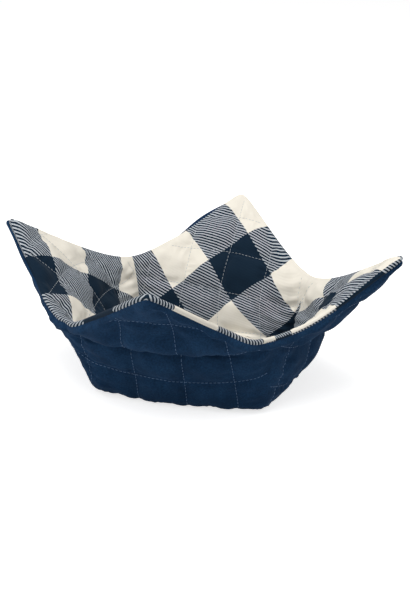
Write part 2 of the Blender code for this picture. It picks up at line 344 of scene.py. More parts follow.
def rim_points(cut, wall, across):
    """Rim of a wall: a cubic sweep from the tip to each dart, joined as half sum + across/share x half gap."""
    index = WALLS.index(wall)
    tip = tip_point(cut, wall)
    share = rounded_share(cut, across)
    tops = (dart_top(cut, DARTS[index]), quarter_turns(dart_top(cut, DARTS[index - 1]), 3))
    sweeps = []
    for side, top in zip((1.0, -1.0), tops):
        leaving = unit(unit(top - tip) - np.array([0.0, 0.0, RIM_SAG]))
        arriving = unit(np.array([-1.0, side, 0.0]))
        sweeps.append(hermite(share, tip, leaving * cut.rim_length, top,
                              arriving * cut.rim_length * RIM_FLATNESS))
    return (sweeps[0] + sweeps[1]) / 2.0 + (across / share)[..., None] * (sweeps[0] - sweeps[1]) / 2.0


def bow(wall, across):
    """How far a side of the base stands out of the square: its bow x (1 - across2)."""
    return BASE_BOW[wall] * (1.0 - np.clip(across, -1.0, 1.0)**2)


def cloth_length(cut, wall, across):
    """Flat length of a wall's column: seam rise + (wall length - seam rise) x (1 - rounded share) - bow."""
    length = cut.seam_rise + (cut.wall_length - cut.seam_rise) * (1.0 - rounded_share(cut, across))
    return length - bow(wall, across)


def wall_points(cut, wall, across, rise):
    """Each column is a cubic curve from the base edge to the rim; its pulls mix the wall's lean and the
    seam's lean by across squared."""
    towards_dart = 45.0 * np.sign(across)
    share = (across**2)[..., None]
    foot = np.stack([cut.base_half + bow(wall, across), cut.base_half * across, np.zeros_like(across)], axis=-1)
    seam_foot, seam_head = leaning(SEAM_FOOT_LEAN, towards_dart), leaning(SEAM_HEAD_LEAN, towards_dart)
    pull_foot = unit((1.0 - share) * leaning(FOOT_LEAN[wall], 0.0) + share * seam_foot)
    pull_head = unit((1.0 - share) * leaning(HEAD_LEAN[wall], 0.0) + share * seam_head)
    length = np.hypot(cloth_length(cut, wall, across), cut.seam_spread * across)[..., None]
    return hermite(rise, foot, pull_foot * length, rim_points(cut, wall, across), pull_head * length)


def column_places():
    """Places of the columns across a wall: s x (0.8 + 0.2 s2) for s from -1 to 1, closer at the tip."""
    s = np.linspace(-1.0, 1.0, COLUMNS)
    return s * (0.8 + 0.2 * s**2)


def wall_grid(cut, wall):
    """Rows by columns of flat places and folded points of one wall, in its own frame. The bend at the foot is
    (1-t)2 below + 2t(1-t) edge + t2 above, and the rest follows the wall's curves."""
    columns = column_places()
    share = np.concatenate([np.linspace(0.0, 1.0, BEND_ROWS + 1), np.linspace(0.0, 1.0, WALL_ROWS + 1)[1:]])
    in_bend = np.arange(len(share)) <= BEND_ROWS
    across, share = np.broadcast_arrays(columns[None, :], share[:, None])
    start = BASE_BEND / cloth_length(cut, wall, across)
    rise = np.where(in_bend[:, None], start * np.maximum(2.0 * share - 1.0, 0.0), start + (1.0 - start) * share)
    fold = cut.base_half + bow(wall, across)
    out = fold + rise * cloth_length(cut, wall, across)
    out = np.where(in_bend[:, None], fold + BASE_BEND * (2.0 * share - 1.0), out)
    aside = across * (cut.base_half + np.minimum(out - fold, 0.0) + rise * cut.seam_spread)
    edge = np.stack([fold, cut.base_half * across, np.zeros_like(across)], axis=-1)
    inner = cut.base_half - BASE_BEND
    below = np.stack([inner + bow(wall, across), inner * across, np.zeros_like(across)], axis=-1)
    above = wall_points(cut, wall, across, start)
    t = share[..., None]
    bend = (1 - t)**2 * below + 2 * t * (1 - t) * edge + t**2 * above
    points = np.where(in_bend[:, None, None], bend, wall_points(cut, wall, across, rise))
    return np.stack([out, aside], axis=-1), points


def bumps(flat, table):
    """A sum of soft bumps, each its height x exp(-(dx/rx)2 - (dy/ry)2) round a flat place."""
    total = np.zeros(flat.shape[:-1])
    for x, y, reach_x, reach_y, height in table:
        total += height * np.exp(-((flat[..., 0] - x) / reach_x)**2 - ((flat[..., 1] - y) / reach_y)**2)
    return total


def folded_grids(cut):
    """Flat places and folded points of all five patches, the four walls and the base, as flat arrays with the
    shape of each patch."""
    patches = []
    for index, wall in enumerate(WALLS):
        flat, points = wall_grid(cut, wall)
        patches.append((quarter_turns(flat, index), quarter_turns(points, index)))
    inner = cut.base_half - BASE_BEND
    t, s = np.meshgrid(column_places(), column_places(), indexing="ij")
    x = s * (inner + np.where(s > 0.0, bow("right", t), bow("left", t)))
    y = t * (inner + np.where(t > 0.0, bow("back", s), bow("front", s)))
    patches.append((np.stack([x, y], axis=-1), np.stack([x, y, np.zeros_like(x)], axis=-1)))
    return patches


def quads_of(rows, columns, start):
    """Quads of a grid of points, as rows of four indices from start; the face looks to rows x columns."""
    index = start + np.arange(rows * columns).reshape(rows, columns)
    return np.stack([index[:-1, :-1], index[1:, :-1], index[1:, 1:], index[:-1, 1:]], axis=-1).reshape(-1, 4)


class Cloth:
    """The welded middle surface: points, quads that face up and inwards, flat places of every quad corner."""

    def __init__(self, cut):
        self.cut = cut
        patches = folded_grids(cut)
        self.shapes = [points.shape[:2] for _, points in patches]
        flat = np.concatenate([flat.reshape(-1, 2) for flat, _ in patches])
        points = np.concatenate([points.reshape(-1, 3) for _, points in patches])
        points[:, 2] += cut.middle_height
        starts = np.cumsum([0] + [rows * columns for rows, columns in self.shapes])
        quads = [quads_of(rows, columns, start) for (rows, columns), start in zip(self.shapes, starts)]
        quads[-1] = quads[-1][:, ::-1]
        corners = np.concatenate(quads)
        keys = np.round(points / SAME_POINT + 0.37).astype(np.int64)
        _, first, self.weld = np.unique(keys, axis=0, return_index=True, return_inverse=True)
        self.weld = self.weld.reshape(-1)
        self.starts, self.unwelded_flat = starts, flat
        self.points = points[first]
        self.flat = flat[first]
        self.quads = self.weld[corners]
        self.corner_flat = flat[corners]
        self.normals = vertex_normals(self.points, self.quads)
        self.points = self.points - self.normals * bumps(self.flat, SLUMPS)[:, None]
        self.normals = vertex_normals(self.points, self.quads)
        self.rim = [self.weld[start + (rows - 1) * columns + np.arange(columns)]
                    for (rows, columns), start in zip(self.shapes[:4], starts)]


def vertex_normals(points, quads):
    """Sum over the faces round a point of the cross product of the face's diagonals, made unit length."""
    diagonals = np.cross(points[quads[:, 2]] - points[quads[:, 0]], points[quads[:, 3]] - points[quads[:, 1]])
    normals = np.zeros_like(points)
    for corner in range(4):
        np.add.at(normals, quads[:, corner], diagonals)
    return unit(normals)


def smooth_step(x):
    """x2 (3 - 2x), held to 0 and 1 outside."""
    x = np.clip(x, 0.0, 1.0)
    return x * x * (3.0 - 2.0 * x)


def flat_distances(cut, flat):
    """Distance of flat places to the rim and to the nearest dart seam."""
    x, y = np.abs(flat[..., 0]), np.abs(flat[..., 1])
    high, low = np.maximum(x, y), np.minimum(x, y)
    to_rim = (cut.tip_flat - high - low) / math.sqrt(2.0)
    to_seam = ((high - cut.base_half) * cut.seam_spread - (low - cut.base_half) * cut.seam_rise) / cut.seam_length
    to_seam = np.where(high > cut.base_half, to_seam, np.hypot(high - cut.base_half, low - cut.base_half))
    return np.maximum(to_rim, 0.0), np.maximum(to_seam, 0.0)


def to_stitches(flat, pitch, start):
    """Distance to the nearest line of stitches, along X and along Y: |((v - start) / pitch + 1/2) mod 1 - 1/2|."""
    share = (flat - np.array(start)) / np.array(pitch)
    return np.abs((share + 0.5) % 1.0 - 0.5) * np.array(pitch)


def puff_share(cut, sizes, flat, places, pitch, start):
    """Rise of the wadding from 0 on a line of stitches to 1 between the lines: 0.65 of a quick rounded edge,
    1 - (1 - d/groove)2, and 0.35 of a dome, sin(pi d / pitch)."""
    to_rim, to_seam = flat_distances(cut, flat)
    lines = to_stitches(places, pitch, start)
    nearest = np.minimum.reduce([lines[..., 0], lines[..., 1], to_rim, to_seam])
    edge = 1.0 - (1.0 - np.minimum(nearest / (sizes.groove_width / 2.0), 1.0))**2
    return 0.65 * edge + 0.35 * np.sin(math.pi * np.minimum(nearest / min(pitch), 0.5))


def new_mesh(name, points, faces, corner_flat=None, materials=(), loose=None):
    """Puts points and faces into a mesh object at the origin, with the flat places as its UV map in metres. The
    first points, those of the shown side, get an attribute that says how freely the cloth may wrinkle there."""
    mesh = bpy.data.meshes.new(name)
    mesh.from_pydata(points.tolist(), [], [face.tolist() for group in faces for face in group])
    mesh.update()
    if corner_flat is not None:
        places = np.concatenate([corners.reshape(-1, 2) for corners in corner_flat])
        mesh.uv_layers.new(name="flat_cloth").data.foreach_set("uv", places.astype(np.float32).ravel())
    if loose is not None:
        padded = np.concatenate([loose, np.zeros(len(points) - len(loose))])
        mesh.attributes.new("loose", "FLOAT", "POINT").data.foreach_set("value", padded.astype(np.float32))
    mesh.shade_smooth()
    for material in materials:
        mesh.materials.append(material)
    piece = bpy.data.objects.new(name, mesh)
    bpy.context.scene.collection.objects.link(piece)
    return piece


def add_node(tree, kind, inputs=(), **settings):
    """Adds a shader node, sets its properties, and links each input that is a socket or a node, which stands for
    its first output, or fills it with a value."""
    node = tree.nodes.new("ShaderNode" + kind)
    for name, value in settings.items():
        setattr(node, name, value)
    for key, value in dict(inputs).items():
        if isinstance(value, bpy.types.Node):
            value = value.outputs[0]
        if isinstance(value, bpy.types.NodeSocket):
            tree.links.new(value, node.inputs[key])
        else:
            node.inputs[key].default_value = value
    return node


def new_material(name, values):
    """A node material with its tree and its shader, whose fixed inputs are set."""
    material = bpy.data.materials.new(name)
    material.use_nodes = True
    shader = material.node_tree.nodes["Principled BSDF"]
    for key, value in values.items():
        shader.inputs[key].default_value = value
    return material, material.node_tree, shader


def brushed_cotton(colours):
    """Woven cotton with a brushed nap: a matt, slightly cloudy navy with a soft sheen at grazing angles and a
    fine grain of yarns."""
    material, tree, shader = new_material("brushed navy cotton", {
        "Roughness": 0.92, "Specular IOR Level": 0.08,
        "Sheen Weight": 0.06, "Sheen Roughness": 0.5, "Sheen Tint": linear("#7f9dc6"),
    })
    cloth = add_node(tree, "UVMap", uv_map="flat_cloth")
    cloudy = add_node(tree, "TexNoise", {"Vector": cloth, "Scale": 70.0, "Detail": 4.0, "Roughness": 0.6})
    grain = add_node(tree, "TexNoise", {"Vector": cloth, "Scale": 900.0, "Detail": 2.0})
    threads = add_node(tree, "Mapping", {"Vector": cloth, "Rotation": (0.0, 0.0, -math.pi / 4.0)})
    # Yarns lie 0.5 mm apart; drawn at 1.1 mm, the finest that the picture can show
    weave = add_node(tree, "TexWave", {"Vector": threads, "Scale": 1.0 / YARN_PITCH / WAVE_CYCLES,
                                       "Distortion": 1.2, "Detail": 1.0, "Detail Scale": 40.0})
    mixed = add_node(tree, "Math", {0: cloudy, 1: grain}, operation="MULTIPLY")
    share = add_node(tree, "MapRange", {"Value": mixed, "From Min": 0.15, "From Max": 0.42})
    tint = add_node(tree, "Mix", {"Factor": share, "A": colours.outer_navy, "B": colours.outer_worn},
                    data_type="RGBA")
    height = add_node(tree, "Math", {0: grain, 1: weave.outputs["Fac"]}, operation="ADD")
    bump = add_node(tree, "Bump", {"Height": height, "Strength": 0.35, "Distance": 0.0002})
    tree.links.new(tint.outputs["Result"], shader.inputs["Base Color"])
    tree.links.new(bump.outputs["Normal"], shader.inputs["Normal"])
    return material


def check_twill(sizes, colours):
    """Yarn-dyed twill check: bands of navy and cream cross at right angles. Warp and weft take turns on top
    along the twill lines, so crossings of unlike bands show fine stripes and saw-toothed edges."""
    material, tree, shader = new_material("navy and cream check twill", {
        "Roughness": 0.9, "Specular IOR Level": 0.08, "Sheen Weight": 0.04,
    })
    cloth = add_node(tree, "UVMap", uv_map="flat_cloth")
    slubs = add_node(tree, "TexNoise", {"Vector": cloth, "Scale": 260.0, "Detail": 3.0, "Roughness": 0.6})
    shift = add_node(tree, "VectorMath", {0: slubs.outputs["Color"], 1: (0.5, 0.5, 0.5)}, operation="SUBTRACT")
    moved = add_node(tree, "VectorMath", {0: shift, 1: (0.0006, 0.0006, 0.0), 2: cloth},
                     operation="MULTIPLY_ADD")
    # Band space: both thread directions counted in pairs of bands, so that the first half of each is navy
    pair = 2.0 * sizes.check_band
    bands = add_node(tree, "Mapping", {
        "Vector": moved,
        "Rotation": (0.0, 0.0, -math.pi / 4.0),
        "Scale": (1.0 / pair, 1.0 / pair, 1.0),
        "Location": (-0.0025 / pair, 0.25, 0.0),
    })
    phase = add_node(tree, "VectorMath", {0: bands}, operation="FRACTION")
    split = add_node(tree, "SeparateXYZ", {0: phase})
    # The twill lines run near X; the thread in front changes every half period. Navy lines are drawn wider than half
    # a period, as painted shade that the navy yarns cast on the cream ones beside them
    turned = add_node(tree, "Mapping", {"Vector": moved, "Rotation": (0.0, 0.0, -sizes.twill_turn)})
    place = add_node(tree, "SeparateXYZ", {0: turned})
    lines = add_node(tree, "Math", {0: place.outputs[1], 1: 1.0 / sizes.twill_period}, operation="MULTIPLY")
    turn = add_node(tree, "Math", {0: lines, 1: math.tau}, operation="MULTIPLY")
    wave = add_node(tree, "Math", {0: turn}, operation="SINE")
    dyed, navy_lines = [], []
    for thread, (operation, level) in enumerate((("GREATER_THAN", -TWILL_BIAS), ("LESS_THAN", TWILL_BIAS))):
        dyed.append(add_node(tree, "Math", {0: split.outputs[thread], 1: 0.5}, operation="LESS_THAN"))
        front = add_node(tree, "Math", {0: wave, 1: level}, operation=operation)
        navy_lines.append(add_node(tree, "Math", {0: dyed[-1], 1: front}, operation="MULTIPLY"))
    navy = add_node(tree, "Math", enumerate(navy_lines), operation="MAXIMUM")
    # Where only one of the two threads is navy, the cream yarn takes the darker shaded cream colour: painted shade
    # that the navy one casts on it
    crossed = add_node(tree, "Math", enumerate(dyed), operation="MAXIMUM")
    pale = add_node(tree, "Mix", {"Factor": crossed, "A": colours.check_cream, "B": colours.check_cream_shaded},
                    data_type="RGBA")
    tint = add_node(tree, "Mix", {"Factor": navy, "A": pale.outputs["Result"], "B": colours.check_navy},
                    data_type="RGBA")
    cloudy = add_node(tree, "TexNoise", {"Vector": cloth, "Scale": 45.0, "Detail": 3.0})
    shade = add_node(tree, "MapRange", {"Value": cloudy, "To Min": 0.90, "To Max": 1.06})
    tinted = add_node(tree, "Mix", {"Factor": 1.0, "A": tint.outputs["Result"], "B": shade}, data_type="RGBA",
                      blend_type="MULTIPLY")
    ridge = add_node(tree, "Math", {0: lines, 1: 0.5}, operation="PINGPONG")
    height = add_node(tree, "Math", {0: slubs, 1: 0.5, 2: ridge}, operation="MULTIPLY_ADD")
    bump = add_node(tree, "Bump", {"Height": height, "Strength": 0.4, "Distance": 0.0003})
    tree.links.new(tinted.outputs["Result"], shader.inputs["Base Color"])
    tree.links.new(bump.outputs["Normal"], shader.inputs["Normal"])
    return material


def sewing_thread(name, colour):
    """Twisted polyester thread: a soft shine, and plies that turn round it."""
    material, tree, shader = new_material(name, {"Roughness": 0.55})
    place = add_node(tree, "TexCoord").outputs["Object"]
    plies = add_node(tree, "TexNoise", {"Vector": place, "Scale": 1500.0})
    shade = add_node(tree, "MapRange", {"Value": plies, "To Min": 0.8, "To Max": 1.1})
    tint = add_node(tree, "Mix", {"Factor": 1.0, "A": colour, "B": shade}, data_type="RGBA", blend_type="MULTIPLY")
    tree.links.new(tint.outputs["Result"], shader.inputs["Base Color"])
    return material


def rim_directions(cloth):
    """Unit directions out of the cloth along its surface at rim points: rim tangent x surface normal."""
    outwards = np.zeros_like(cloth.points)
    for rim in cloth.rim:
        tangent = np.gradient(cloth.points[rim], axis=0)
        away = np.cross(unit(tangent), cloth.normals[rim])
        np.add.at(outwards, rim, away)
    return unit(outwards)


def print_shift(flat):
    """How far the lining's print and quilting lie from their even places: a sum of shifts, each times
    exp(-(distance / reach)2)."""
    total = np.zeros_like(flat)
    for x, y, reach, shift_x, shift_y in PRINT_SHIFTS:
        share = np.exp(-((flat[..., 0] - x)**2 + (flat[..., 1] - y)**2) / reach**2)
        total += share[..., None] * np.array([shift_x, shift_y])
    return total


def quilted_places(side, flat):
    """Flat places as the quilting of a layer sees them."""
    return flat + print_shift(flat) if side > 0 else flat


def eased(cut, flat):
    """The lining's print near the rim is drawn inwards by RIM_EASE x (1 - distance / reach)2, because the cloth
    was stretched over the edge when it was turned, and it is shifted where it was sewn askew."""
    to_rim, _ = flat_distances(cut, flat)
    share = (1.0 - np.minimum(to_rim / EASE_REACH, 1.0))**2
    slope = np.sign(flat) / math.sqrt(2.0)
    return flat - slope * (RIM_EASE * share)[..., None] + print_shift(flat)


def layer_mesh(cloth, side, shown, profile, bare_profile, profile_flat):
    """Closed form of a layer: its shown side, its hidden side and strips round the rim between the two. Each row
    of the profile is a place (along the normal, out of the cloth) for the strips from shown to hidden, and it
    moves towards that of the bare profile where the outer layer shows."""
    hidden = cloth.points + cloth.normals * (side * cloth.cut.gap_half)
    outwards = rim_directions(cloth)
    count = len(cloth.points)
    rim = np.unique(np.concatenate(cloth.rim))
    place_of = np.full(count, -1)
    place_of[rim] = np.arange(len(rim))
    bare = smooth_step(bumps(cloth.flat[rim], RIM_BARES) / BARE_EASE)
    rows = []
    for (n, w), (bare_n, bare_w) in zip(profile, bare_profile):
        along, out = (n + (bare_n - n) * bare), (w + (bare_w - w) * bare)
        rows.append(cloth.points[rim] + cloth.normals[rim] * (side * along)[:, None] + outwards[rim] * out[:, None])
    points = np.concatenate([shown, hidden, *rows])
    order = 1 if side == LINING else -1
    faces = [cloth.quads[:, ::order], count + cloth.quads[:, ::-order]]
    flats = [cloth.corner_flat[:, ::order], cloth.corner_flat[:, ::-order]]
    for wall, line in enumerate(cloth.rim):
        height, width = cloth.shapes[wall]
        edge = cloth.unwelded_flat[cloth.starts[wall] + (height - 1) * width + np.arange(width)]
        slope = quarter_turns(np.stack([np.ones(width), np.sign(column_places() + 1e-9)], axis=-1), wall)
        slope = slope / math.sqrt(2.0)
        places = place_of[line]
        indices = [line] + [2 * count + row * len(rim) + places for row in range(len(profile))] + [count + line]
        beyond = [0.0, *profile_flat, 0.0]
        for above, below, a, b in zip(indices[:-1], indices[1:], beyond[:-1], beyond[1:]):
            quads = np.stack([above[1:], above[:-1], below[:-1], below[1:]], axis=-1)
            over, under = edge + slope * a, edge + slope * b
            corners = np.stack([over[1:], over[:-1], under[:-1], under[1:]], axis=1)
            faces.append(quads[:, ::order])
            flats.append(corners[:, ::order])
    return points, faces, flats


def grid_sample(cloth, values, flat):
    """Values of the welded points at any flat places, bilinear between the rows and columns of their patch. The
    column is found by halving the step towards aside / (half base + rise x spread) again and again."""
    cut = cloth.cut
    result = np.zeros((len(flat), values.shape[1]))
    columns = column_places()
    inner = cut.base_half - BASE_BEND
    for index in range(5):
        turned = quarter_turns(flat, -index if index < 4 else 0)
        out, aside = turned[:, 0], turned[:, 1]
        if index < 4:
            wall = WALLS[index]
            across = np.clip(aside / np.maximum(out, 1e-9), -1.0, 1.0)
            for _ in range(60):
                fold = cut.base_half + bow(wall, across)
                rise = np.maximum(out - fold, 0.0) / cloth_length(cut, wall, across)
                wide = np.maximum(cut.base_half + np.minimum(out - fold, 0.0) + rise * cut.seam_spread, 1e-9)
                across = (across + np.clip(aside / wide, -1.0, 1.0)) / 2.0
            chosen = (out >= np.abs(aside)) & (out > inner + bow(wall, across))
            start = BASE_BEND / cloth_length(cut, wall, across)
            row = np.where(out < fold, (out - fold + BASE_BEND) / (2.0 * BASE_BEND) * BEND_ROWS,
                           (0.5 + rise / start / 2.0) * BEND_ROWS)
            row = np.where(rise > start, BEND_ROWS + (rise - start) / (1.0 - start) * WALL_ROWS, row)
            column = np.interp(across, columns, np.arange(COLUMNS))
        else:
            s, t = out / inner, aside / inner
            for _ in range(20):
                s, t = (out / (inner + np.where(out > 0.0, bow("right", t), bow("left", t))),
                        aside / (inner + np.where(aside > 0.0, bow("back", s), bow("front", s))))
            chosen = np.maximum(np.abs(s), np.abs(t)) <= 1.0
            row = np.interp(t, columns, np.arange(COLUMNS))
            column = np.interp(s, columns, np.arange(COLUMNS))
        if not chosen.any():
            continue
        row, column = row[chosen], column[chosen]
        rows, width = cloth.shapes[index]
        low_row = np.clip(np.floor(row).astype(int), 0, rows - 2)
        low_column = np.clip(np.floor(column).astype(int), 0, width - 2)
        s, t = np.clip(row - low_row, 0.0, 1.0)[:, None], np.clip(column - low_column, 0.0, 1.0)[:, None]
        at = cloth.weld[cloth.starts[index] + np.arange(rows * width)].reshape(rows, width)
        corner = [values[at[low_row + i, low_column + j]] for i in (0, 1) for j in (0, 1)]
        result[chosen] = ((1 - s) * ((1 - t) * corner[0] + t * corner[1]) + s * ((1 - t) * corner[2] + t * corner[3]))
    return result


def stitch_centres(cut, sizes, side):
    """Flat centres and directions of all running stitches: along every line, one each stitch length, kept where
    the cloth is, clear of rim and dart seams."""
    pitch, start = quilting(sizes, side)
    centres, directions = [], []
    reach = cut.tip_flat
    along = np.arange(-reach, reach, sizes.stitch_length)
    for axis in (0, 1):
        first = start[axis] % pitch[axis] - pitch[axis] * math.ceil(reach / pitch[axis])
        for place in np.arange(first, reach, pitch[axis]):
            line = np.empty((len(along), 2))
            line[:, axis] = place
            line[:, 1 - axis] = along
            centres.append(line)
            direction = np.zeros_like(line)
            direction[:, 1 - axis] = 1.0
            directions.append(direction)
    even, directions = np.concatenate(centres), np.concatenate(directions)
    centres = even
    for _ in range(4):
        centres = even - (quilted_places(side, centres) - centres)
    to_rim, to_seam = flat_distances(cut, centres)
    on_base = np.abs(centres).max(axis=1) < cut.base_half
    kept = (to_rim > STITCH_TO_RIM) & (on_base | (to_seam > STITCH_TO_SEAM))
    return centres[kept], directions[kept]


def stitch_mesh(cloth, sizes, shown, normals, centres, directions):
    """Each stitch is a six-sided bead along the line of stitches: its middle line rises as 1 - s2 from the cloth
    and its width shrinks at both ends."""
    s = np.array(BEAD_PLACES)
    width = np.array(BEAD_WIDTHS) * sizes.thread_width / 2.0
    rise = (1.0 - s**2) * sizes.thread_width * BEAD_RISE - sizes.thread_width * BEAD_SINK
    half = sizes.stitch_length * BEAD_REACH
    places = (centres[:, None, :] + directions[:, None, :] * (s * half)[None, :, None]).reshape(-1, 2)
    on_cloth = grid_sample(cloth, shown, places).reshape(len(centres), len(s), 3)
    upward = unit(grid_sample(cloth, normals, places).reshape(len(centres), len(s), 3))
    tangent = unit(np.gradient(on_cloth, axis=1))
    sideways = unit(np.cross(tangent, upward))
    spine = on_cloth + upward * rise[None, :, None]
    turn = np.arange(BEAD_SIDES) * math.tau / BEAD_SIDES
    ring = (sideways[:, :, None, :] * np.cos(turn)[None, None, :, None]
            + upward[:, :, None, :] * (BEAD_HEIGHT * np.sin(turn))[None, None, :, None])
    points = (spine[:, :, None, :] + ring * width[None, :, None, None]).reshape(-1, 3)
    rings = np.arange(len(centres) * len(s) * BEAD_SIDES).reshape(len(centres), len(s), BEAD_SIDES)
    after = np.roll(rings, -1, axis=2)
    sides = np.stack([rings[:, :-1], rings[:, 1:], after[:, 1:], after[:, :-1]], axis=-1).reshape(-1, 4)
    caps = np.concatenate([rings[:, 0], rings[:, -1, ::-1]])
    return points, [sides, caps]


def values_of(items, name, width, kind=np.float32):
    """One value of every item of a mesh, such as the places of its points, as rows of the given width."""
    values = np.zeros(len(items) * width, kind)
    items.foreach_get(name, values)
    return values.reshape(-1, width)


def finish_normals(piece):
    """Turns all faces outwards."""
    bm = bmesh.new()
    bm.from_mesh(piece.data)
    bmesh.ops.recalc_face_normals(bm, faces=bm.faces[:])
    bm.to_mesh(piece.data)
    bm.free()


def wandering(flat, lengths, seed):
    """Smooth random height between about -1 and 1: a mean of sines whose wavelengths are given, each in its own
    random direction."""
    random = np.random.default_rng(seed)
    total = np.zeros(flat.shape[:-1])
    for length in lengths:
        angle, phase = random.uniform(0.0, math.tau, 2)
        along = flat[..., 0] * math.cos(angle) + flat[..., 1] * math.sin(angle)
        total += np.sin(math.tau * along / length + phase)
    return total / math.sqrt(len(lengths))


def puckers(flat, pitch, start):
    """Small gathers on both sides of every line of stitches: (d/w) exp(1 - d/w) across the line, times a sine
    along it whose phase wanders."""
    total = np.zeros(flat.shape[:-1])
    for axis in (0, 1):
        share = (flat[..., axis] - start[axis]) / pitch[axis]
        line = np.round(share)
        distance = np.abs(share - line) * pitch[axis] / PUCKER_REACH
        side = np.sign(share - line)
        along = flat[..., 1 - axis]
        wander = 0.55 * np.sin(math.tau * along / 0.031 + 2.1 * line) + 0.3 * np.sin(math.tau * along / 0.0173 + line)
        wave = np.sin(math.tau * along / PUCKER_LENGTH + 4.0 * wander + 1.3 * line + 0.9 * side)
        strength = 0.6 + 0.4 * np.sin(math.tau * along / 0.041 + 3.7 * line + side)
        total += distance * np.exp(1.0 - distance) * wave * strength
    return total


def looseness(cloth):
    """0 at the rim and the dart seams, rising to 1 at the rim's reach from them as x2 (3 - 2x)."""
    to_rim, to_seam = flat_distances(cloth.cut, cloth.flat)
    return smooth_step(to_rim / RIM_REACH) * smooth_step(to_seam / RIM_REACH)


def gathers(cut, flat):
    """Soft creases that run away from the dart seams: (d/r) exp(1 - d/r) across the seam, times a sine along it
    that wanders."""
    x, y = np.abs(flat[..., 0]), np.abs(flat[..., 1])
    high, low = np.maximum(x, y), np.minimum(x, y)
    along = ((high - cut.base_half) * cut.seam_rise + (low - cut.base_half) * cut.seam_spread) / cut.seam_length
    _, to_seam = flat_distances(cut, flat)
    distance = to_seam / GATHER_REACH
    dart = np.sign(flat[..., 0]) + 2.0 * np.sign(flat[..., 1]) + 0.7 * (x > y)
    wave = np.sin(math.tau * (along + 0.25 * to_seam) / GATHER_LENGTH + 1.9 * dart)
    wave += 0.6 * np.sin(math.tau * (along - 0.4 * to_seam) / (1.7 * GATHER_LENGTH) + 2.3 * dart)
    return distance * np.exp(1.0 - distance) * wave * smooth_step(along / 0.012 + 0.5)


def thin_hidden(mesh, first, last, coarse_points, coarse_edges):
    """Undoes the subdivision of the hidden side, the fine faces from first to last, where nothing is seen: takes
    out the middles of its faces and then those of its edges. The edges that it shares with the rim keep theirs."""
    corners = values_of(mesh.loops, "vertex_index", 1, np.int32)[:, 0]
    inside = np.unique(corners[4 * first:4 * last])
    outside = np.unique(np.concatenate([corners[:4 * first], corners[4 * last:]]))
    middles = np.setdiff1d(inside[inside >= coarse_points], outside)
    bm = bmesh.new()
    bm.from_mesh(mesh)
    bm.verts.ensure_lookup_table()
    face_middles = [bm.verts[index] for index in middles[middles >= coarse_points + coarse_edges]]
    edge_middles = [bm.verts[index] for index in middles[middles < coarse_points + coarse_edges]]
    bmesh.ops.dissolve_verts(bm, verts=face_middles)
    bmesh.ops.dissolve_verts(bm, verts=edge_middles)
    bm.to_mesh(mesh)
    bm.free()


def settle(piece, cloth, pitch, start, seed):
    """Makes one subdivision part of the mesh and moves the shown side along its normals by the fine forms of
    the cloth: puckers beside stitches, gathers beside darts and soft wandering wrinkles, all fading out at seams
    and rim. Returns where the shown points of the coarse mesh end up; they come first in the fine one."""
    levels = piece.modifiers.new("fine", "SUBSURF")
    levels.levels = levels.render_levels = 1
    fine = bpy.data.meshes.new_from_object(piece.evaluated_get(bpy.context.evaluated_depsgraph_get()))
    coarse = piece.data
    coarse_points, coarse_edges = len(coarse.vertices), len(coarse.edges)
    piece.modifiers.clear()
    piece.data = fine
    bpy.data.meshes.remove(coarse)
    points, normals = values_of(fine.vertices, "co", 3), values_of(fine.vertices, "normal", 3)
    loose = values_of(fine.attributes["loose"].data, "value", 1)[:, 0]
    corners = values_of(fine.loops, "vertex_index", 1, np.int32)[:, 0]
    flat = np.zeros((len(points), 2))
    flat[corners] = values_of(fine.uv_layers["flat_cloth"].data, "uv", 2)
    from_stitches = smooth_step(to_stitches(flat, pitch, start).min(axis=-1) / WRINKLE_FADE)
    height = PUCKER_HEIGHT * puckers(flat, pitch, start) + GATHER_HEIGHT * gathers(cloth.cut, flat)
    height += WRINKLE_HEIGHT * from_stitches * wandering(flat, WRINKLE_LENGTHS, seed)
    points = points + normals * (height * loose)[:, None]
    points[:, 2] = np.maximum(points[:, 2], 0.0)
    fine.vertices.foreach_set("co", points.astype(np.float32).ravel())
    fine.update()
    thin_hidden(fine, 4 * len(cloth.quads), 8 * len(cloth.quads), coarse_points, coarse_edges)
    return points[:len(cloth.points)]


def quilting(sizes, side):
    """Pitch and start of a layer's lines of stitches."""
    if side < 0:
        return (sizes.outer_pitch_x, sizes.outer_pitch_y), (sizes.outer_start_x, sizes.outer_start_y)
    return (sizes.lining_pitch_x, sizes.lining_pitch_y), (sizes.lining_start_x, sizes.lining_start_y)


